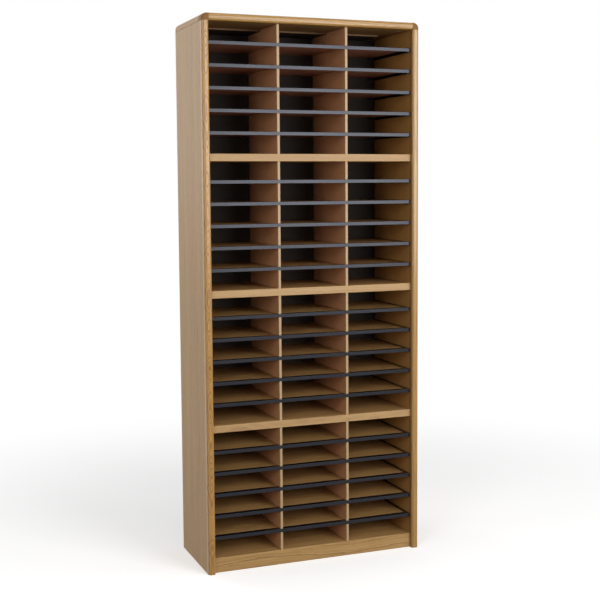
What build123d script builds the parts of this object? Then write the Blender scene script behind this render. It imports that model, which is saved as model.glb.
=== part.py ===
from build123d import *
import os

# A tall literature organizer: three columns of compartments in four stacked sections.
# X runs across the front, Y runs back from the front, Z is up, and the origin is on the
# floor under the middle of the cabinet. All sizes are in millimetres.

# Whole cabinet
width = 800.0
depth = 334.0
height = 1905.0
sections = 4
rows_per_section = 6
columns = 3

# Boards of the carcass
panel_thickness = 25.4
edge_depth = 25.4
edge_radius = 9.0
corner_radius = 20.0
corner_block_depth = 38.0
seam_groove = 1.0
least_flat = 0.4
shelf_recess = 17.0
shelf_front_radius = 1.5
base_rail_height = 52.0
base_rail_thickness = 19.0

# Back board, held in a groove
back_thickness = 3.2
back_inset = 6.4
back_groove_depth = 6.0
back_floor_gap = 12.0

# Thin stiffening board under the top
cleat_thickness = 4.8
cleat_end_gap = 49.0
cleat_depth = 137.0

# Thin shelves, dividers and their half-lap slots
board_thickness = 3.2
divider_thickness = 8.5
slot_clearance = 0.2

# Plastic moulding along the front of each thin shelf
moulding_height = 11.4
moulding_wall = 2.5
moulding_arris_radius = 0.6
flange_thickness = 1.5
top_flange_depth = 23.0
lower_flange_depth = 8.0
label_recess_depth = 0.8
label_lower_margin = 1.2
label_upper_margin = 1.6

# Plastic rails that carry the ends of the thin shelves
rail_height = 12.7
rail_web = 2.5
rail_flange_width = 12.0
kerf_height = 2.0
kerf_depth = 6.0
kerf_clearance = 0.1

# Clip under each rear corner of a thin shelf
clip_width = 14.0
clip_depth = 8.0
clip_drop = 5.8
clip_wall = 2.0
clip_gap = 4.0
clip_rib_depth = 5.6
clip_rib_drop = 4.2

# Cam fittings
cam_diameter = 15.0
cam_depth = 14.0
cam_from_end = 24.0
cam_driver_length = 9.0
cam_driver_width = 1.6
cam_driver_depth = 2.5
bolt_height = 9.0
bolt_diameter = 6.0
bolt_thread_length = 11.0
bolt_neck_diameter = 4.6
bolt_neck_length = 5.0
bolt_head_length = 3.0
bolt_hole_diameter = 8.0
fitting_front_inset = 50.0
fitting_rear_inset = 60.0
drill_clearance = 0.1

# Wooden dowels
dowel_diameter = 8.0
dowel_length = 30.0
dowel_hole_extra = 1.0
shelf_dowel_offset = 59.0
corner_dowel_offset = 14.5
base_rail_dowels = 4
base_rail_dowel_depth = 11.0

# Screws through the back board
screws_per_shelf = 5
screw_diameter = 3.5
screw_length = 16.0
screw_head_diameter = 7.0
screw_head_height = 2.0
screw_head_radius = 1.2
screw_slot_width = 0.7
screw_slot_depth = 1.0
screw_side_inset = 60.0

# Places that follow from the sizes above
front = -depth / 2
rear = depth / 2
inner_width = width - 2 * panel_thickness
inner_side = inner_width / 2
panel_front = front + edge_depth
corner_block_rear = front + corner_block_depth
shelf_front = front + shelf_recess
back_front = rear - back_inset - back_thickness
back_rear = rear - back_inset
top_underside = height - panel_thickness
bottom_panel_top = base_rail_height
bottom_panel_underside = bottom_panel_top - panel_thickness
bottom_panel_front = shelf_front + base_rail_thickness
fixed_shelves = sections - 1
clear_height = top_underside - bottom_panel_top - fixed_shelves * panel_thickness
section_height = clear_height / sections
thin_shelves = rows_per_section - 1
row_height = (section_height - thin_shelves * moulding_height) / rows_per_section
column_width = (inner_width - (columns - 1) * divider_thickness) / columns
divider_front = shelf_front + moulding_wall
lap_middle = (divider_front + back_front) / 2
cleat_front = back_front - cleat_depth
cleat_side = inner_side - cleat_end_gap
edge_round = min(edge_radius, edge_depth - least_flat, panel_thickness / 2 - least_flat)
corner_round = min(corner_radius, panel_thickness - least_flat)
arris_round = min(moulding_arris_radius, moulding_wall - least_flat, label_upper_margin - least_flat)
fitting_front = shelf_front + fitting_front_inset
fitting_rear = back_front - fitting_rear_inset


def block(x_ends, y_ends, z_ends):
    """A rectangular solid between two places along each axis, in either order."""
    sizes = [abs(ends[1] - ends[0]) for ends in (x_ends, y_ends, z_ends)]
    middle = [(ends[0] + ends[1]) / 2 for ends in (x_ends, y_ends, z_ends)]
    return Pos(*middle) * Box(*sizes)


def rod(start, direction, diameter, length):
    """A round bar or drill hole that runs from start along a unit direction."""
    plane = Plane(origin=start, z_dir=direction)
    return plane * Cylinder(diameter / 2, length, align=(Align.CENTER, Align.CENTER, Align.MIN))


def section_floor(section):
    return bottom_panel_top + section * (section_height + panel_thickness)


def moulding_bottom(section, row):
    return section_floor(section) + (row + 1) * row_height + row * moulding_height


def board_top(section, row):
    return moulding_bottom(section, row) + moulding_height - flange_thickness


def board_bottom(section, row):
    return board_top(section, row) - board_thickness


def divider_middle(column):
    return -inner_side + (column + 1) * column_width + (column + 0.5) * divider_thickness


every_row = [(section, row) for section in range(sections) for row in range(thin_shelves)]
divider_places = [divider_middle(column) for column in range(columns - 1)]
fixed_shelf_floors = [section_floor(section) - panel_thickness for section in range(1, sections)]
cam_panel_floors = [bottom_panel_underside] + fixed_shelf_floors + [top_underside]


def cut_all(solid, tools):
    for tool in tools:
        solid -= tool
    return solid


def save(name, shape):
    solids = shape if isinstance(shape, list) else [shape]
    bodies = []
    for item in solids:
        bodies.extend(item.solids())
    result = bodies[0] if len(bodies) == 1 else Compound(children=bodies)
    result.label = name
    export_step(result, "parts/" + name + ".step")


# Cam fittings: a bolt in the upright holds a cam lock sunk in the end of each flat panel

def fittings_on(floor):
    """The height, side and depth of each cam fitting of the flat panel on this floor."""
    return [(floor + bolt_height, side, y) for side in (-1, 1) for y in (fitting_front, fitting_rear)]


def all_fittings():
    return [place for floor in cam_panel_floors for place in fittings_on(floor)]


def cam_bolt(z, side, y):
    joint = side * inner_side
    inward = (-side, 0, 0)
    neck_start = joint - side * (cam_from_end - bolt_neck_length / 2)
    head_start = neck_start - side * bolt_neck_length
    thread = rod((joint, y, z), (side, 0, 0), bolt_diameter, bolt_thread_length)
    shank = rod((joint, y, z), inward, bolt_diameter, cam_from_end - bolt_neck_length / 2)
    neck = rod((neck_start, y, z), inward, bolt_neck_diameter, bolt_neck_length)
    head = rod((head_start, y, z), inward, bolt_diameter, bolt_head_length)
    return thread + shank + neck + head


def cam_lock(z, side, y):
    floor = z - bolt_height
    x = side * (inner_side - cam_from_end)
    lock = rod((x, y, floor), (0, 0, 1), cam_diameter, cam_depth)
    bolt_way = rod((x + side * cam_diameter, y, z), (-side, 0, 0), bolt_hole_diameter,
                   cam_diameter + bolt_neck_length / 2 + bolt_head_length + drill_clearance)
    half_slot = cam_driver_length / 2
    half_width = cam_driver_width / 2
    along = block((x - half_slot, x + half_slot), (y - half_width, y + half_width),
                  (floor, floor + cam_driver_depth))
    across = block((x - half_width, x + half_width), (y - half_slot, y + half_slot),
                   (floor, floor + cam_driver_depth))
    return cut_all(lock, [bolt_way, along, across])


def cam_holes(floor):
    """The cam pocket and the bolt hole at both ends of the flat panel on this floor."""
    holes = []
    for z, side, y in fittings_on(floor):
        x = side * (inner_side - cam_from_end)
        holes.append(rod((x, y, floor), (0, 0, 1), cam_diameter + 2 * drill_clearance,
                         cam_depth + drill_clearance))
        holes.append(rod((side * inner_side, y, z), (-side, 0, 0), bolt_hole_diameter, cam_from_end))
    return holes


def bolt_holes(side, lowest, highest):
    """The holes for bolt threads in an upright piece between two heights."""
    holes = []
    for z, bolt_side, y in all_fittings():
        if bolt_side == side and lowest < z < highest:
            holes.append(rod((side * inner_side, y, z), (side, 0, 0),
                             bolt_diameter + 2 * drill_clearance,
                             bolt_thread_length + drill_clearance))
    return holes


# Wooden dowels: each one is half in either piece

def dowel(joint, direction):
    start = Vector(*joint) - Vector(*direction) * (dowel_length / 2)
    return rod(tuple(start), direction, dowel_diameter, dowel_length)


def dowel_hole(joint, direction):
    length = dowel_length + 2 * dowel_hole_extra
    start = Vector(*joint) - Vector(*direction) * (length / 2)
    return rod(tuple(start), direction, dowel_diameter + 2 * drill_clearance, length)


def shelf_dowels():
    """Dowels between the side panels and the bottom panel and fixed shelves."""
    places = []
    for floor in cam_panel_floors[:-1]:
        for side in (-1, 1):
            for y in (fitting_front + shelf_dowel_offset, fitting_rear - shelf_dowel_offset):
                joint = (side * inner_side, y, floor + panel_thickness / 2)
                places.append((joint, (1, 0, 0)))
    return places


def corner_dowels():
    """Dowels that stand in the top of each side panel and reach into its corner moulding."""
    x = inner_side + panel_thickness / 2
    places = []
    for side in (-1, 1):
        for y in (fitting_front + corner_dowel_offset, fitting_rear - corner_dowel_offset):
            places.append(((side * x, y, top_underside), (0, 0, 1)))
    return places


def corner_block_dowels():
    """A dowel between each corner block and the moulding behind it."""
    x = inner_side + panel_thickness / 2
    z = top_underside + panel_thickness / 2
    return [((side * x, corner_block_rear, z), (0, 1, 0)) for side in (-1, 1)]


def rail_dowel_joints():
    """Places along the front edge of the bottom panel where dowels enter the base rail."""
    step = inner_width / base_rail_dowels
    z = bottom_panel_underside + panel_thickness / 2
    return [(-inner_side + (number + 0.5) * step, bottom_panel_front, z)
            for number in range(base_rail_dowels)]


def rail_dowel(joint, spare=0.0, play=0.0):
    """A dowel that stops behind the base rail's front face, or its hole with room to spare."""
    in_rail = base_rail_dowel_depth + spare
    start = (joint[0], joint[1] - in_rail, joint[2])
    return rod(start, (0, 1, 0), dowel_diameter + 2 * play, in_rail + dowel_length / 2 + spare)


def rail_dowel_holes():
    return [rail_dowel(joint, dowel_hole_extra, drill_clearance) for joint in rail_dowel_joints()]


# Screws through the back board into the rear edges of the flat panels

def screw_places():
    span = inner_width - 2 * screw_side_inset
    places = []
    for floor in cam_panel_floors[:-1]:
        for number in range(screws_per_shelf):
            x = -span / 2 + number * span / (screws_per_shelf - 1)
            places.append((x, floor + panel_thickness / 2))
    return places


def back_screw(x, z):
    shank = rod((x, back_rear, z), (0, -1, 0), screw_diameter, screw_length)
    head = rod((x, back_rear, z), (0, 1, 0), screw_head_diameter, screw_head_height)
    head = fillet(head.edges().group_by(Axis.Y)[-1], screw_head_radius)
    half_slot = screw_diameter / 2
    half_width = screw_slot_width / 2
    head_end = back_rear + screw_head_height
    slot_depths = (head_end - screw_slot_depth, head_end)
    along = block((x - half_slot, x + half_slot), slot_depths, (z - half_width, z + half_width))
    across = block((x - half_width, x + half_width), slot_depths, (z - half_slot, z + half_slot))
    return cut_all(shank + head, [along, across])


def screw_hole(x, z):
    return rod((x, back_rear, z), (0, -1, 0), screw_diameter + 2 * drill_clearance,
               screw_length + drill_clearance)


# Side panels: laminated board with a rounded edge piece along the front

def seam_grooves(side):
    """Fine V-shaped grooves along the upright and the level seam of a side's outer face."""
    outer = side * width / 2
    across = seam_groove * 2 ** 0.5
    upright = Rot(0, 0, 45) * Box(across, across, top_underside)
    level = Rot(0, 45, 0) * Box(across, depth, across)
    return [Pos(outer, panel_front, top_underside / 2) * upright, Pos(outer, 0, top_underside) * level]


def side_panel(side):
    outer = side * width / 2
    panel = block((side * inner_side, outer), (panel_front, rear), (0, top_underside))
    groove = block((side * inner_side, side * (inner_side + back_groove_depth)),
                   (back_front, back_rear), (back_floor_gap, top_underside))
    kerfs = []
    for section, row in every_row:
        middle = moulding_bottom(section, row) + moulding_height / 2
        kerfs.append(block((side * inner_side, side * (inner_side + kerf_depth)),
                           (shelf_front, back_front),
                           (middle - kerf_height / 2, middle + kerf_height / 2)))
    holes = bolt_holes(side, 0, top_underside)
    for joint, direction in shelf_dowels() + corner_dowels():
        if joint[0] * side > 0:
            holes.append(dowel_hole(joint, direction))
    return cut_all(panel, [groove] + kerfs + holes + seam_grooves(side))


def side_edge(side):
    edge = block((side * inner_side, side * width / 2), (front, panel_front), (0, top_underside))
    arrises = edge.edges().filter_by(Axis.Z).group_by(Axis.Y)[0]
    return cut_all(fillet(arrises, edge_round), seam_grooves(side))


# Top: a flat panel with its own rounded edge, between two quarter-round corner mouldings that
# end in a corner block at the front

def top_panel():
    panel = block((-inner_side, inner_side), (panel_front, rear), (top_underside, height))
    groove = block((-inner_side, inner_side), (back_front, back_rear),
                   (top_underside, top_underside + back_groove_depth))
    return cut_all(panel, [groove] + cam_holes(top_underside))


def top_edge():
    edge = block((-inner_side, inner_side), (front, panel_front), (top_underside, height))
    arrises = edge.edges().filter_by(Axis.X).group_by(Axis.Y)[0]
    return fillet(arrises, edge_round)


def quarter_round(side, y_ends):
    """A bar along the top of a side, with its outer upper arris rounded."""
    bar = block((side * inner_side, side * width / 2), y_ends, (top_underside, height))
    upper_arrises = bar.edges().filter_by(Axis.Y).group_by(Axis.Z)[-1].sort_by(Axis.X)
    return fillet(upper_arrises[-1] if side > 0 else upper_arrises[0], corner_round)


def block_dowel_holes(side):
    return [dowel_hole(joint, direction) for joint, direction in corner_block_dowels()
            if joint[0] * side > 0]


def corner_block(side):
    post = quarter_round(side, (front, corner_block_rear))
    front_edges = post.edges().group_by(Axis.Y)[0]
    under_joint = front_edges.group_by(Axis.Z)[0]
    beside_joint = front_edges.sort_by_distance((0, front, height - panel_thickness / 2))[0]
    outline = [edge for edge in front_edges if edge not in under_joint and edge != beside_joint]
    post = fillet(outline, edge_round)
    return cut_all(post, block_dowel_holes(side) + seam_grooves(side))


def corner_moulding(side):
    moulding = quarter_round(side, (corner_block_rear, rear))
    holes = bolt_holes(side, top_underside, height) + block_dowel_holes(side)
    for joint, direction in corner_dowels():
        if joint[0] * side > 0:
            holes.append(rod(joint, direction, dowel_diameter + 2 * drill_clearance,
                             dowel_length / 2 + dowel_hole_extra))
    return cut_all(moulding, holes + seam_grooves(side))


def top_cleat():
    return block((-cleat_side, cleat_side), (cleat_front, back_front),
                 (top_underside - cleat_thickness, top_underside))


# Flat panels inside the carcass

def flat_panel(floor, panel_start):
    panel = block((-inner_side, inner_side), (panel_start, back_front), (floor, floor + panel_thickness))
    if panel_start == shelf_front:
        panel = fillet(panel.edges().filter_by(Axis.X).group_by(Axis.Y)[0], shelf_front_radius)
    holes = cam_holes(floor)
    holes += [dowel_hole(joint, direction) for joint, direction in shelf_dowels()
              if floor < joint[2] < floor + panel_thickness]
    holes += [screw_hole(x, z) for x, z in screw_places() if floor < z < floor + panel_thickness]
    return cut_all(panel, holes)


def bottom_panel():
    panel = flat_panel(bottom_panel_underside, bottom_panel_front)
    return cut_all(panel, rail_dowel_holes())


def base_rail():
    rail = block((-inner_side, inner_side), (shelf_front, bottom_panel_front), (0, base_rail_height))
    rail = fillet(rail.edges().filter_by(Axis.X).group_by(Axis.Y)[0], shelf_front_radius)
    return cut_all(rail, rail_dowel_holes())


def back_panel():
    in_sides = inner_side + back_groove_depth - slot_clearance
    board = block((-in_sides, in_sides), (back_front, back_rear), (back_floor_gap, top_underside))
    board += block((-inner_side, inner_side), (back_front, back_rear),
                   (top_underside, top_underside + back_groove_depth - slot_clearance))
    return cut_all(board, [screw_hole(x, z) for x, z in screw_places()])


# Dividers and thin shelves slot into each other, half from the front and half from the rear

def divider(section, column):
    middle = divider_places[column]
    sides = (middle - divider_thickness / 2, middle + divider_thickness / 2)
    floor = section_floor(section)
    ceiling = floor + section_height
    panel = block(sides, (divider_front, back_front), (floor, ceiling))
    cuts = []
    for row in range(thin_shelves):
        lower = board_bottom(section, row) - slot_clearance
        upper = board_top(section, row) + slot_clearance
        cuts.append(block(sides, (divider_front, lap_middle), (lower, upper)))
        cuts.append(block(sides, (divider_front, shelf_front + top_flange_depth + slot_clearance),
                          (lower - flange_thickness, upper + flange_thickness)))
    if section == sections - 1:
        cuts.append(block(sides, (cleat_front - slot_clearance, back_front),
                          (ceiling - cleat_thickness, ceiling)))
    return cut_all(panel, cuts)


def thin_shelf(section, row):
    half = inner_side - rail_web
    heights = (board_bottom(section, row), board_top(section, row))
    board = block((-half, half), (divider_front, back_front), heights)
    reach = divider_thickness / 2 + slot_clearance
    slots = [block((x - reach, x + reach), (lap_middle, back_front), heights) for x in divider_places]
    return cut_all(board, slots)


def label_moulding(section, row):
    """A channel around the front of one board, with a shallow hollow for labels in its face."""
    bottom = moulding_bottom(section, row)
    top = bottom + moulding_height
    half = inner_side - rail_web
    across = (-half, half)
    upper = board_top(section, row)
    lower = board_bottom(section, row)
    wall = block(across, (shelf_front, divider_front), (bottom, top))
    recess = block(across, (shelf_front, shelf_front + label_recess_depth),
                   (bottom + label_lower_margin, top - label_upper_margin))
    top_flange = block(across, (divider_front, shelf_front + top_flange_depth),
                       (upper, upper + flange_thickness))
    lower_flange = block(across, (divider_front, shelf_front + lower_flange_depth),
                         (lower - flange_thickness, lower))
    moulding = (wall - recess) + top_flange + lower_flange
    top_arris = moulding.edges().filter_by(Axis.X).group_by(Axis.Y)[0].sort_by(Axis.Z)[-1]
    return fillet(top_arris, arris_round)


def side_rail(section, row, side):
    top = moulding_bottom(section, row) + moulding_height
    upper = board_top(section, row)
    lower = board_bottom(section, row)
    web_face = side * (inner_side - rail_web)
    flange_tip = side * (inner_side - rail_flange_width)
    flange_start = shelf_front + top_flange_depth
    middle = top - moulding_height / 2
    tongue = kerf_height / 2 - kerf_clearance
    web = block((side * inner_side, web_face), (shelf_front, back_front), (top - rail_height, top))
    upper_flange = block((web_face, flange_tip), (flange_start, back_front),
                         (upper, upper + flange_thickness))
    lower_flange = block((web_face, flange_tip), (flange_start, back_front),
                         (lower - flange_thickness, lower))
    barb = block((side * inner_side, side * (inner_side + kerf_depth - kerf_clearance)),
                 (shelf_front + edge_depth, back_front - kerf_clearance),
                 (middle - tongue, middle + tongue))
    return web + upper_flange + lower_flange + barb


def rear_clip(section, row, side):
    start = side * (inner_side - rail_flange_width - clip_gap)
    across = (start, start - side * clip_width)
    under = board_bottom(section, row)
    arm = block(across, (back_front - clip_depth, back_front), (under - clip_wall, under))
    leg = block(across, (back_front - clip_wall, back_front), (under - clip_drop, under))
    middle = start - side * clip_width / 2
    rib = block((middle - clip_wall / 2, middle + clip_wall / 2),
                (back_front - clip_rib_depth, back_front), (under - clip_rib_drop, under))
    return arm + leg + rib


def make_carcass():
    for side, word in ((-1, "left"), (1, "right")):
        save(word + "_side_panel", side_panel(side))
        save(word + "_front_edge", side_edge(side))
        save(word + "_corner_block", corner_block(side))
        save(word + "_corner_moulding", corner_moulding(side))
    save("top_panel", top_panel())
    save("top_front_edge", top_edge())
    save("top_cleat", top_cleat())
    save("bottom_panel", bottom_panel())
    save("base_rail", base_rail())
    save("back_panel", back_panel())
    for number, floor in enumerate(fixed_shelf_floors):
        save("fixed_shelf_%d" % (number + 1), flat_panel(floor, shelf_front))


def make_sections():
    for section in range(sections):
        for column in range(columns - 1):
            save("divider_%d_%d" % (section + 1, column + 1), divider(section, column))
        for row in range(thin_shelves):
            save("thin_shelf_%d_%d" % (section + 1, row + 1), thin_shelf(section, row))
        rows = range(thin_shelves)
        save("label_mouldings_%d" % (section + 1), [label_moulding(section, row) for row in rows])
        rails = [side_rail(section, row, side) for row in rows for side in (-1, 1)]
        save("side_rails_%d" % (section + 1), rails)
    save("rear_clips", [rear_clip(section, row, side) for section, row in every_row for side in (-1, 1)])


def make_fasteners():
    save("cam_bolts", [cam_bolt(z, side, y) for z, side, y in all_fittings()])
    save("cam_locks", [cam_lock(z, side, y) for z, side, y in all_fittings()])
    joints = shelf_dowels() + corner_dowels() + corner_block_dowels()
    dowels = [dowel(joint, direction) for joint, direction in joints]
    dowels += [rail_dowel(joint) for joint in rail_dowel_joints()]
    save("dowels", dowels)
    save("back_screws", [back_screw(x, z) for x, z in screw_places()])


os.makedirs("parts", exist_ok=True)
make_carcass()
make_sections()
make_fasteners()
print("row clear height %.2f, column width %.2f, section height %.2f"
      % (row_height, column_width, section_height))
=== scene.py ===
import math
import bpy
from mathutils import Matrix, Vector


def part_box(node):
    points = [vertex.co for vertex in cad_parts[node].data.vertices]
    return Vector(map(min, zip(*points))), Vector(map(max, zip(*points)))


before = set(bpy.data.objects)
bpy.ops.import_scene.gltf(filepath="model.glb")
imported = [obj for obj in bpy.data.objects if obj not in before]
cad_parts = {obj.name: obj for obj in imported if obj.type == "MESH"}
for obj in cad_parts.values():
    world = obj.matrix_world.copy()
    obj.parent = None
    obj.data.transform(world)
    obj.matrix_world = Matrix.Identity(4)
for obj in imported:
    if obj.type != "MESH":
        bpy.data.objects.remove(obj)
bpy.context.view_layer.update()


# Side panels: particleboard under an oak-look laminate with a fine, straight, upright grain.
# The laminate covers both faces; the sawn lower and rear edges show the pressed chips.

class Finish:
    """A node material worked out from Object coordinates, in metres."""

    def __init__(self, name, **shader_values):
        self.material = bpy.data.materials.new(name)
        self.material.use_nodes = True
        tree = self.material.node_tree
        tree.nodes.clear()
        self.nodes = tree.nodes
        self.links = tree.links
        self.shader = self.nodes.new("ShaderNodeBsdfPrincipled")
        for socket, value in shader_values.items():
            self.shader.inputs[socket.replace("_", " ")].default_value = value
        output = self.nodes.new("ShaderNodeOutputMaterial")
        self.links.new(self.shader.outputs[0], output.inputs["Surface"])
        where = self.nodes.new("ShaderNodeTexCoord")
        self.place = where.outputs["Object"]
        self.normal = where.outputs["Normal"]

    def join(self, value, socket):
        if isinstance(value, bpy.types.NodeSocket):
            self.links.new(value, socket)
        else:
            socket.default_value = value

    def add(self, kind, inputs, output=0, **settings):
        node = self.nodes.new("ShaderNode" + kind)
        for name, value in settings.items():
            setattr(node, name, value)
        for socket, value in inputs.items():
            self.join(value, node.inputs[socket])
        return node.outputs[output]

    def math(self, operation, first, second=0.0, third=0.0):
        return self.add("Math", {0: first, 1: second, 2: third}, operation=operation)

    def stretch(self, place, scale, shift=(0, 0, 0)):
        return self.add("Mapping", {"Vector": place, "Location": shift, "Scale": scale})

    def noise(self, place, scale=1.0, detail=2.0, roughness=0.5):
        return self.add("TexNoise", {"Vector": place, "Scale": scale, "Detail": detail,
                                     "Roughness": roughness})

    def ramp(self, factor, stops):
        node = self.nodes.new("ShaderNodeValToRGB")
        elements = node.color_ramp.elements
        while len(elements) < len(stops):
            elements.new(0.5)
        for element, (position, level) in zip(elements, stops):
            element.position = position
            element.color = (level, level, level, 1)
        self.join(factor, node.inputs["Fac"])
        return node.outputs["Color"]

    def mix(self, factor, first, second, blend_type="MIX"):
        return self.add("Mix", {0: factor, 6: first, 7: second}, output=2, data_type="RGBA",
                        blend_type=blend_type)

    def facing(self, axis, sign):
        """1 where the surface faces along that axis, in the direction of the sign."""
        parts = self.nodes.new("ShaderNodeSeparateXYZ")
        self.links.new(self.normal, parts.inputs[0])
        return self.math("GREATER_THAN", self.math("MULTIPLY", parts.outputs[axis], sign), 0.7)

    def finish(self, colour, roughness, height, depth):
        bump = self.add("Bump", {"Height": height, "Strength": 1.0, "Distance": depth})
        self.join(colour, self.shader.inputs["Base Color"])
        self.join(roughness, self.shader.inputs["Roughness"])
        self.join(bump, self.shader.inputs["Normal"])
        return self.material


oak_pale = (0.53, 0.325, 0.125, 1)
oak_tan = (0.45, 0.26, 0.090, 1)
oak_line = (0.20, 0.092, 0.026, 1)
oak_pore = (0.15, 0.068, 0.024, 1)

# Ramps, as pairs of a position and a level: a year's line is dark in its porous early wood and
# fades towards its dense late wood, and some years are darker than others
year_levels = [(0.0, 0.9), (0.08, 1.0), (0.34, 0.5), (0.62, 0.10), (0.9, 0.0), (1.0, 0.9)]
season_levels = [(0.0, 0.2), (0.35, 0.45), (0.7, 0.85), (1.0, 1.0)]
tone_levels = [(0.0, 0.0), (0.3, 0.0), (0.7, 1.0), (1.0, 1.0)]
fibre_levels = [(0.0, 0.80), (0.35, 0.86), (0.65, 1.0), (1.0, 1.06)]
pore_levels = [(0.0, 1.0), (0.33, 1.0), (0.43, 0.0), (1.0, 0.0)]

# How finely each pattern repeats, per metre: twice across the grain and once along it
wobble_scale = (150, 150, 14)
tone_scale = (55, 55, 1.3)
fibre_scale = (620, 620, 9)
pore_scale = (1150, 1150, 62)
heart_paces = (4.3, 2.3)

# Pores are densest in the dark lines
pore_in_line = 0.65
pore_elsewhere = 0.2
pore_darkness = 0.8
fibre_relief = 0.35

# The object axes that run across the grain, twice, and along it
grain_axes = {"x": (2, 1, 0), "y": (0, 2, 1), "z": (0, 1, 2)}


def grain_place(finish, along):
    """Object coordinates reordered so that the third one runs along the grain."""
    parts = finish.nodes.new("ShaderNodeSeparateXYZ")
    finish.links.new(finish.place, parts.inputs[0])
    order = enumerate(grain_axes[along])
    return finish.add("CombineXYZ", {number: parts.outputs[axis] for number, axis in order})


def oak_grain(finish, along, heart, ring, sweep, wander, line_strength, shift=(0, 0, 0),
              stray=1.1, pace=3.4):
    """Oak's colour and its relief: growth rings cut by the surface, fibres and open pores.

    heart: where the middle of the tree passes, across the grain
    ring: the width of one year's growth
    sweep: how far the rings swell and shrink along the grain
    wander: how far the heart moves
    line_strength: how dark the lines of porous early wood are
    shift: moves the pattern, so that two boards differ
    stray: how far, in rings, a line strays
    pace: how quickly the rings swell and shrink, per metre
    """
    place = grain_place(finish, along)
    place = finish.add("VectorMath", {0: place, 1: shift}, operation="ADD")
    parts = finish.nodes.new("ShaderNodeSeparateXYZ")
    finish.links.new(place, parts.inputs[0])
    length_only = finish.add("CombineXYZ", {2: parts.outputs[2]})
    slow = finish.noise(finish.stretch(length_only, (1, 1, heart_paces[0])), detail=1.0)
    slower = finish.stretch(length_only, (1, 1, heart_paces[1]), (3, 1, 7))
    slower = finish.noise(slower, detail=1.0)
    swell = finish.noise(finish.stretch(length_only, (1, 1, pace), (8, 5, 2)), detail=1.5)
    aside = finish.math("MULTIPLY_ADD", slow, wander, -heart[0] - wander / 2)
    aside = finish.math("ADD", aside, parts.outputs[0])
    behind = finish.math("MULTIPLY_ADD", slower, wander, -heart[1] - wander / 2)
    behind = finish.math("ADD", behind, parts.outputs[1])
    from_heart = finish.add("CombineXYZ", {0: aside, 1: behind})
    radius = finish.add("VectorMath", {0: from_heart}, output=1, operation="LENGTH")
    radius = finish.math("MULTIPLY_ADD", swell, sweep, radius)
    wobble = finish.noise(finish.stretch(place, wobble_scale), detail=2.0)
    radius = finish.math("MULTIPLY_ADD", wobble, stray * ring, radius)
    years = finish.math("DIVIDE", radius, ring)
    year = finish.math("FRACT", years)
    line = finish.ramp(year, year_levels)
    season = finish.add("TexWhiteNoise", {"W": finish.math("FLOOR", years)}, noise_dimensions="1D")
    season = finish.ramp(season, season_levels)
    line = finish.math("MULTIPLY", line, season)
    broad = finish.noise(finish.stretch(place, tone_scale, (5, 2, 0)), detail=2.0)
    fibre = finish.noise(finish.stretch(place, fibre_scale), detail=3.0, roughness=0.65)
    pore = finish.noise(finish.stretch(place, pore_scale, (1, 4, 2)), detail=1.0)
    pore = finish.ramp(pore, pore_levels)
    in_line = finish.math("MULTIPLY_ADD", line, pore_in_line, pore_elsewhere)
    pore = finish.math("MULTIPLY", pore, in_line)
    tone = finish.ramp(broad, tone_levels)
    colour = finish.mix(tone, oak_tan, oak_pale)
    colour = finish.mix(finish.math("MULTIPLY", line, line_strength), colour, oak_line)
    fibre_tone = finish.ramp(fibre, fibre_levels)
    colour = finish.mix(1.0, colour, fibre_tone, "MULTIPLY")
    colour = finish.mix(finish.math("MULTIPLY", pore, pore_darkness), colour, oak_pore)
    height = finish.math("MULTIPLY_ADD", pore, -1.0, finish.math("MULTIPLY", fibre, fibre_relief))
    return colour, height, fibre


chip_dark = (0.21, 0.125, 0.062, 1)
chip_pale = (0.50, 0.36, 0.21, 1)
chips_per_metre = 420.0
chip_levels = [(0.0, 0.0), (0.2, 0.15), (0.75, 1.0), (1.0, 1.0)]


def chipboard(finish):
    """The sawn edge of particleboard: flat chips of several browns, pressed together."""
    chips = finish.add("TexVoronoi", {"Vector": finish.place, "Scale": chips_per_metre}, output=1)
    shade = finish.ramp(finish.add("RGBToBW", {0: chips}), chip_levels)
    return finish.mix(shade, chip_dark, chip_pale), shade


# The laminate is printed with quarter-sawn oak, cut far from the middle of the tree
laminate_heart = (0.9, 0.35)
laminate_ring = 0.0052
laminate_sweep = 0.03
laminate_wander = 0.02
laminate_ior = 1.4
laminate_roughness = 0.42
roughness_spread = 0.10
grain_depth = 0.00006


def laminate(name, along, sawn, shift=(0, 0, 0), ring=laminate_ring, strength=0.40,
             sweep=laminate_sweep, tints=()):
    """Oak-look laminate on particleboard, with the sawn faces named as (axis, sign).

    tints holds (axis, sign, amount, colour) for faces of another shade.
    """
    finish = Finish(name, IOR=laminate_ior)
    colour, height, fibre = oak_grain(finish, along, laminate_heart, ring, sweep, laminate_wander,
                                      strength, shift)
    for axis, sign, amount, shade in tints:
        part = finish.math("MULTIPLY", finish.facing(axis, sign), amount)
        colour = finish.mix(part, colour, shade)
    for axis, sign in sawn:
        chips, relief = chipboard(finish)
        bare = finish.facing(axis, sign)
        colour = finish.mix(bare, colour, chips)
        height = finish.add("Mix", {0: bare, 2: height, 3: relief}, data_type="FLOAT")
    roughness = finish.math("MULTIPLY_ADD", fibre, roughness_spread, laminate_roughness)
    return finish.finish(colour, roughness, height, grain_depth)


def dress(node, material):
    """Gives a node of the frame this material in each of its slots."""
    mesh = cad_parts[node].data
    if not mesh.materials:
        mesh.materials.append(material)
    for number in range(len(mesh.materials)):
        mesh.materials[number] = material


# The inner faces get a warmer brown than the outer ones, partly a painted red cast of light
# bounced from the sheets in the compartments
inner_face_warm_and_painted_bounce = (0.50, 0.24, 0.06, 1)
inner_face_warm_and_painted_bounce_amount = 0.55
lower_and_rear = [(2, -1), (1, 1)]
for word, inward, shift in (("left", 1, (0, 0, 0)), ("right", -1, (0.3, 0.2, 0.7))):
    inner_face = (0, inward, inner_face_warm_and_painted_bounce_amount, inner_face_warm_and_painted_bounce)
    dress(word + "_side_panel",
          laminate(word + "_side_laminate", "z", lower_and_rear, shift, tints=[inner_face]))


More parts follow.
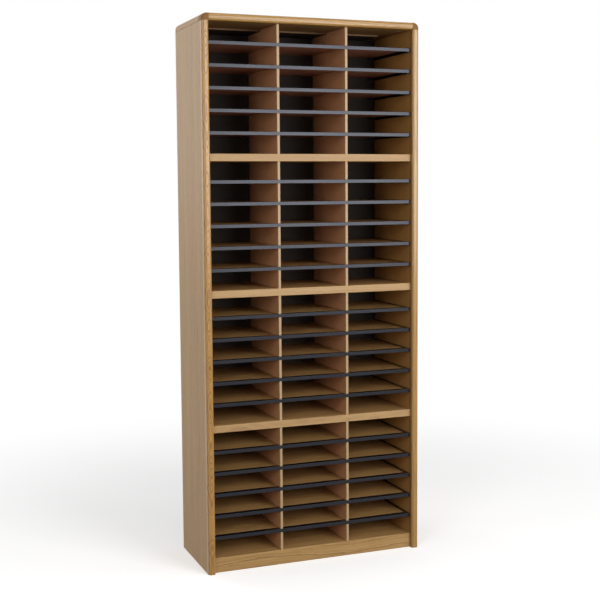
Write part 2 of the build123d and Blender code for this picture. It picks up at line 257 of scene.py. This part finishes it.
# Front edges of the sides: an oak strip with both arrises rounded over, glued to the panel.
# The left one is plain-sawn, so that its grain runs in nested points up and down the front;
# the right one has straighter grain.

oak_wander = 0.006
oak_stray = 0.6
lacquer_roughness = 0.20


def solid_oak(name, along, heart, ring, sweep, strength, pace, tint, ior):
    """Lacquered solid oak. tint multiplies the oak's colours."""
    finish = Finish(name, IOR=ior)
    colour, height, fibre = oak_grain(finish, along, heart, ring, sweep, oak_wander, strength,
                                      stray=oak_stray, pace=pace)
    colour = finish.mix(1.0, colour, tint, "MULTIPLY")
    roughness = finish.math("MULTIPLY_ADD", fibre, roughness_spread, lacquer_roughness)
    return finish.finish(colour, roughness, height, grain_depth)


side_edge_heart_depth = 0.007
side_edge_ring = 0.0042
side_edges = (("left", -0.06, 1.0, 8.0, (1.06, 0.95, 0.64, 1)),
              ("right", 0.02, 0.6, 3.0, (0.90, 0.84, 0.66, 1)))
for word, sweep, strength, pace, tint in side_edges:
    low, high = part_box(word + "_front_edge")
    heart = ((low[0] + high[0]) / 2, low[1] + side_edge_heart_depth)
    dress(word + "_front_edge", solid_oak(word + "_edge_oak", "z", heart, side_edge_ring, sweep,
                                          strength, pace, tint, ior=1.48))


# Top: a laminated panel between the two corner mouldings, with its own rounded oak strip glued
# along the front. Its underside is darker and redder: painted shade, with a painted red cast of
# light bounced from the sheets below.

rear = [(1, 1)]
# The underside is mixed towards this dark brown: painted shade and a painted red cast of light
# from the sheets
top_underside_painted_shade_and_bounce = (0.20, 0.115, 0.05, 1)
underside = (2, -1, 0.6, top_underside_painted_shade_and_bounce)
dress("top_panel", laminate("top_laminate", "x", rear, (0.5, 0.1, 0.2), tints=[underside]))
low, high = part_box("top_front_edge")
heart = (low[2] + 0.004, low[1] + 0.012)
dress("top_front_edge",
      solid_oak("top_edge_oak", "x", heart, ring=0.0046, sweep=0.05, strength=0.8, pace=4.0,
                tint=(0.97, 0.90, 0.60, 1), ior=1.43))


# Corner blocks: short pieces of solid oak, stained deeper, that end the rounded top corners at
# the front. The sawn end of each faces the front and shows its end grain.

corner_stain = (0.185, 0.072, 0.014, 1)
corner_stain_amount = 0.85
end_grain_roughness = 0.45
end_grain_depth = 0.00008


def corner_oak(name, heart):
    finish = Finish(name, IOR=1.3)
    colour, height, fibre = oak_grain(finish, "y", heart, ring=0.0034, sweep=0.01,
                                      wander=oak_wander, line_strength=0.9)
    colour = finish.mix(corner_stain_amount, colour, corner_stain)
    roughness = finish.math("MULTIPLY_ADD", fibre, roughness_spread, end_grain_roughness)
    return finish.finish(colour, roughness, height, end_grain_depth)


for word in ("left", "right"):
    low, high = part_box(word + "_corner_block")
    heart = (low[0] + 0.003, low[2] - 0.02)
    dress(word + "_corner_block", corner_oak(word + "_corner_oak", heart))


# Corner mouldings: quarter-round bars behind the corner blocks, wrapped in the same laminate
# as the side panels, with the grain running from front to back.

for number, word in enumerate(("left", "right")):
    shift = (0.2, 0.4 + 0.3 * number, 0.6)
    dress(word + "_corner_moulding", laminate(word + "_moulding_laminate", "y", rear, shift))


# Bottom panel, base rail and fixed shelves: laminate with the grain running across,
# and on the fixed shelves an oak-look band on the front edge.

flat_panel_ring = 0.0040
lower = [(2, -1)]
dress("bottom_panel", laminate("bottom_laminate", "x", rear, (0.1, 0.7, 0.3), flat_panel_ring))
dress("base_rail", laminate("base_rail_laminate", "x", lower, (0.8, 0.3, 0.4), ring=0.0036,
                            strength=0.70, sweep=0.012))
front_band_pale = (0.58, 0.40, 0.25, 1)
front_band = (1, -1, 0.18, front_band_pale)
for number in (1, 2, 3):
    name = "fixed_shelf_%d" % number
    shift = (0.37 * number, 0.2, 0.5)
    dress(name, laminate(name + "_laminate", "x", rear, shift, flat_panel_ring, strength=0.55,
                         tints=[front_band]))


# Back board and the thin stiffening board under the top: hardboard painted black. The back
# board's rear face is left bare, and so are the other one's top, front edge and ends.

paint_dark = (0.040, 0.033, 0.029, 1)
paint_pale = (0.062, 0.050, 0.042, 1)
hardboard_dark = (0.155, 0.082, 0.040, 1)
hardboard_pale = (0.235, 0.135, 0.070, 1)
hardboard_speck = (0.33, 0.21, 0.12, 1)
hardboard_roughness = 0.62
hardboard_depth = 0.00004


def hardboard(name, bare):
    """Hardboard painted black, but bare on the faces named as (axis, sign)."""
    finish = Finish(name, IOR=1.3)
    mottle = finish.noise(finish.stretch(finish.place, (90, 90, 90)), detail=4.0, roughness=0.6)
    speck = finish.noise(finish.stretch(finish.place, (1400, 1400, 1400)), detail=2.0)
    colour = finish.mix(mottle, paint_dark, paint_pale)
    brown = finish.mix(mottle, hardboard_dark, hardboard_pale)
    brown = finish.mix(finish.math("MULTIPLY", speck, 0.5), brown, hardboard_speck)
    for axis, sign in bare:
        colour = finish.mix(finish.facing(axis, sign), colour, brown)
    roughness = finish.math("MULTIPLY_ADD", mottle, 0.15, hardboard_roughness)
    return finish.finish(colour, roughness, speck, hardboard_depth)


front_ends_and_top = [(1, -1), (0, -1), (0, 1), (2, 1)]
dress("back_panel", hardboard("back_hardboard", rear))
dress("top_cleat", hardboard("cleat_hardboard", front_ends_and_top))


# Dividers: laminated boards with a slot for each thin shelf, in a warmer, redder oak than the
# sides, partly a painted red cast of light bounced from the sheets, and with a pale band along
# the front edge.

edge_band_pale = (0.46, 0.32, 0.17, 1)
# The faces are pulled towards this red-brown: partly a painted red cast of light bounced from the
# sheets
divider_warm_and_painted_bounce = (0.67, 0.33, 0.175, 1)
divider_warm_and_painted_bounce_amount = 0.75
divider_roughness = 0.40
printed_depth = 0.00005
band_levels = [(0.0, 0.86), (1.0, 1.08)]


def banded_board(name, shift):
    """A laminated board whose front edge carries a pale band."""
    finish = Finish(name, IOR=laminate_ior)
    colour, height, fibre = oak_grain(finish, "z", laminate_heart, laminate_ring, laminate_sweep,
                                      laminate_wander, 0.3, shift)
    colour = finish.mix(divider_warm_and_painted_bounce_amount, colour, divider_warm_and_painted_bounce)
    streak = finish.ramp(fibre, band_levels)
    pale = finish.mix(1.0, edge_band_pale, streak, "MULTIPLY")
    colour = finish.mix(finish.facing(1, -1), colour, pale)
    roughness = finish.math("MULTIPLY_ADD", fibre, roughness_spread, divider_roughness)
    return finish.finish(colour, roughness, height, printed_depth)


for section in range(1, 5):
    for column in (1, 2):
        name = "divider_%d_%d" % (section, column)
        shift = (0.13 * section, 0.29 * column, 0.41 * section)
        dress(name, banded_board(name + "_board", shift))


# Thin shelves: hardboard, slotted where it crosses the dividers, with a printed oak face and
# a deeper red-brown underside, partly the bare hardboard's brown and partly a painted red cast
# of light bounced from the sheets below.

# Underside browns: partly the bare board, partly a painted red cast of light bounced from the
# sheets
shelf_underside_and_painted_bounce_dark = (0.40, 0.190, 0.125, 1)
shelf_underside_and_painted_bounce_pale = (0.56, 0.275, 0.180, 1)
printed_roughness = 0.36


def shelf_board():
    finish = Finish("shelf_hardboard_oak", IOR=laminate_ior)
    colour, height, fibre = oak_grain(finish, "x", laminate_heart, laminate_ring, laminate_sweep,
                                      laminate_wander, 0.35, (0.6, 0.4, 0.2))
    shelf_underside_and_painted_bounce = finish.mix(fibre, shelf_underside_and_painted_bounce_dark, shelf_underside_and_painted_bounce_pale)
    colour = finish.mix(finish.facing(2, -1), colour, shelf_underside_and_painted_bounce)
    roughness = finish.math("MULTIPLY_ADD", fibre, roughness_spread, printed_roughness)
    return finish.finish(colour, roughness, height, printed_depth)


printed_hardboard = shelf_board()
for section in range(1, 5):
    for row in range(1, 6):
        dress("thin_shelf_%d_%d" % (section, row), printed_hardboard)


# Label mouldings: black plastic extrusions pushed onto the front of each thin shelf, with a
# shallow channel for labels between two small lips. The side rails, which carry the shelves'
# ends, and the clips at their rear corners are made of the same plastic.

plastic_dark = (0.0038, 0.0039, 0.0052, 1)
plastic_pale = (0.0060, 0.0062, 0.0085, 1)
# This tints the plastic's reflections blue: a painted blue cast that stands in for the lamps'
# colour
painted_blue_reflection_tint = (0.85, 0.88, 1.0, 1)
plastic_roughness = 0.22
plastic_depth = 0.00002


def black_plastic():
    finish = Finish("black_plastic", IOR=1.38, Specular_Tint=painted_blue_reflection_tint)
    flow = finish.noise(finish.stretch(finish.place, (14, 500, 500)), detail=2.0)
    grit = finish.noise(finish.place, scale=2600.0, detail=2.0)
    colour = finish.mix(flow, plastic_dark, plastic_pale)
    roughness = finish.math("MULTIPLY_ADD", flow, roughness_spread, plastic_roughness)
    return finish.finish(colour, roughness, grit, plastic_depth)


plastic = black_plastic()
for section in range(1, 5):
    dress("label_mouldings_%d" % section, plastic)
    dress("side_rails_%d" % section, plastic)
dress("rear_clips", plastic)


# Fittings: cam bolts, cam locks and back screws of zinc-plated steel, and dowels of turned
# beech, sunk in the boards. Only the screws' heads at the rear and the faces of the locks
# under the flat panels show.

zinc_dark = (0.50, 0.50, 0.49, 1)
zinc_pale = (0.66, 0.66, 0.64, 1)
beech_dark = (0.56, 0.37, 0.20, 1)
beech_pale = (0.68, 0.49, 0.29, 1)
zinc_roughness = 0.28
zinc_depth = 0.00002
beech_roughness = 0.55
beech_depth = 0.00004


def zinc_plate():
    finish = Finish("zinc_plate", IOR=1.5, Metallic=1.0)
    bloom = finish.noise(finish.place, scale=500.0, detail=3.0)
    colour = finish.mix(bloom, zinc_dark, zinc_pale)
    roughness = finish.math("MULTIPLY_ADD", bloom, 0.2, zinc_roughness)
    return finish.finish(colour, roughness, bloom, zinc_depth)


def bare_beech():
    finish = Finish("bare_beech", IOR=1.5)
    fleck = finish.noise(finish.stretch(finish.place, (900, 900, 90)), detail=2.0)
    colour = finish.mix(fleck, beech_dark, beech_pale)
    roughness = finish.math("MULTIPLY_ADD", fleck, 0.1, beech_roughness)
    return finish.finish(colour, roughness, fleck, beech_depth)


zinc = zinc_plate()
for name in ("cam_bolts", "cam_locks", "back_screws"):
    dress(name, zinc)
dress("dowels", bare_beech())


# Studio: a plain white floor that keeps the cabinet's shadow and runs out into a white
# backdrop, and soft lamps at the front right, the right, the front left, the left, the rear
# left and overhead.

def camera_or_mirror(tree):
    """1 for what the camera sees straight, in a mirror or through glass."""
    path = tree.nodes.new("ShaderNodeLightPath")
    total = path.outputs["Is Camera Ray"]
    for name in ("Is Glossy Ray", "Is Transmission Ray"):
        both = tree.nodes.new("ShaderNodeMath")
        both.operation = "MAXIMUM"
        tree.links.new(total, both.inputs[0])
        tree.links.new(path.outputs[name], both.inputs[1])
        total = both.outputs[0]
    return total


# Lengths in metres. Only the camera sees the floor white, and from a distance it fades into
# the backdrop. The cabinet is lit by a dull floor, and by a sky of the ambient strength.
floor_size = 60.0
floor_white = (0.88, 0.88, 0.88, 1)
floor_glow = 0.36
floor_dull = (0.17, 0.17, 0.17, 1)
backdrop_starts = 0.9
backdrop_full = 2.6
ambient = 0.26

bpy.ops.mesh.primitive_plane_add(size=floor_size)
floor = bpy.context.object
floor.name = "studio_floor"
floor_material = bpy.data.materials.new("studio_floor")
floor_material.use_nodes = True
tree = floor_material.node_tree
tree.nodes.clear()
seen = camera_or_mirror(tree)
pale = tree.nodes.new("ShaderNodeBsdfDiffuse")
pale.inputs["Color"].default_value = floor_white
glow = tree.nodes.new("ShaderNodeEmission")
glow.inputs["Strength"].default_value = floor_glow
lit = tree.nodes.new("ShaderNodeAddShader")
tree.links.new(pale.outputs[0], lit.inputs[0])
tree.links.new(glow.outputs[0], lit.inputs[1])
dull = tree.nodes.new("ShaderNodeBsdfDiffuse")
dull.inputs["Color"].default_value = floor_dull
where = tree.nodes.new("ShaderNodeTexCoord")
distance = tree.nodes.new("ShaderNodeVectorMath")
distance.operation = "LENGTH"
tree.links.new(where.outputs["Object"], distance.inputs[0])
fade = tree.nodes.new("ShaderNodeMapRange")
fade.interpolation_type = "SMOOTHSTEP"
fade.inputs["From Min"].default_value = backdrop_starts
fade.inputs["From Max"].default_value = backdrop_full
tree.links.new(distance.outputs["Value"], fade.inputs["Value"])
backdrop = tree.nodes.new("ShaderNodeEmission")
backdrop.inputs["Strength"].default_value = 1.0
ground = tree.nodes.new("ShaderNodeMixShader")
tree.links.new(fade.outputs["Result"], ground.inputs[0])
tree.links.new(lit.outputs[0], ground.inputs[1])
tree.links.new(backdrop.outputs[0], ground.inputs[2])
choice = tree.nodes.new("ShaderNodeMixShader")
tree.links.new(seen, choice.inputs[0])
tree.links.new(dull.outputs[0], choice.inputs[1])
tree.links.new(ground.outputs[0], choice.inputs[2])
output = tree.nodes.new("ShaderNodeOutputMaterial")
tree.links.new(choice.outputs[0], output.inputs["Surface"])
floor.data.materials.append(floor_material)

world = bpy.data.worlds.new("studio")
bpy.context.scene.world = world
world.use_nodes = True
tree = world.node_tree
tree.nodes.clear()
seen = camera_or_mirror(tree)
level = tree.nodes.new("ShaderNodeMath")
level.operation = "MULTIPLY_ADD"
tree.links.new(seen, level.inputs[0])
level.inputs[1].default_value = 1.0 - ambient
level.inputs[2].default_value = ambient
sky = tree.nodes.new("ShaderNodeBackground")
sky.inputs["Color"].default_value = (1, 1, 1, 1)
tree.links.new(level.outputs[0], sky.inputs["Strength"])
output = tree.nodes.new("ShaderNodeOutputWorld")
tree.links.new(sky.outputs[0], output.inputs["Surface"])


def softbox(name, place, target, size, radiance):
    """A soft rectangular lamp of an even radiance, where 1 is white."""
    lamp = bpy.data.lights.new(name, "AREA")
    lamp.shape = "RECTANGLE"
    lamp.size, lamp.size_y = size
    lamp.energy = radiance * math.pi * size[0] * size[1]
    holder = bpy.data.objects.new(name, lamp)
    bpy.context.scene.collection.objects.link(holder)
    holder.location = place
    holder.rotation_euler = (Vector(target) - Vector(place)).to_track_quat("-Z", "Y").to_euler()
    holder.visible_camera = False


softbox("key_softbox", (1.3, -3.3, 1.7), (0.2, 0.0, 1.7), (1.85, 1.75), 8.4)
softbox("right_softbox", (3.3, -2.1, 1.85), (-0.3, -0.1, 1.6), (1.0, 1.6), 3.5)
softbox("left_softbox", (-2.7, -2.9, 1.85), (-0.3, 0.0, 1.42), (1.4, 1.8), 4.25)
softbox("side_softbox", (-3.4, 0.5, 2.3), (-0.4, 0.1, 1.7), (1.6, 1.6), 2.1)
softbox("rear_softbox", (-2.5, 3.2, 2.1), (-0.4, 0.0, 1.5), (1.5, 2.0), 2.4)
softbox("overhead_softbox", (0.0, -0.8, 4.4), (0.0, -0.2, 0.0), (3.0, 3.0), 0.9)


# Camera: in the photograph's direction and a little lower, fitted to the cabinet's edges with
# a small shift of the lens. The angles are in radians.

camera_place = (-1.4617, -3.8470, 1.3471)
camera_turn = 0.375
camera_dip = 0.088
camera_roll = -0.006
focal_pixels = 1140.4
middle_pixels = (312.3, 282.0)
frame_pixels = 600.0
sensor_width = 36.0
camera_data = bpy.data.cameras.new("camera")
camera_data.sensor_width = sensor_width
camera_data.lens = sensor_width * focal_pixels / frame_pixels
camera_data.shift_x = (frame_pixels / 2 - middle_pixels[0]) / frame_pixels
camera_data.shift_y = (middle_pixels[1] - frame_pixels / 2) / frame_pixels
camera = bpy.data.objects.new("camera", camera_data)
bpy.context.scene.collection.objects.link(camera)
camera.matrix_world = (Matrix.Translation(camera_place) @ Matrix.Rotation(-camera_turn, 4, "Z")
                       @ Matrix.Rotation(math.pi / 2 - camera_dip, 4, "X")
                       @ Matrix.Rotation(camera_roll, 4, "Z"))
bpy.context.scene.camera = camera
bpy.context.scene.view_settings.view_transform = "Standard"
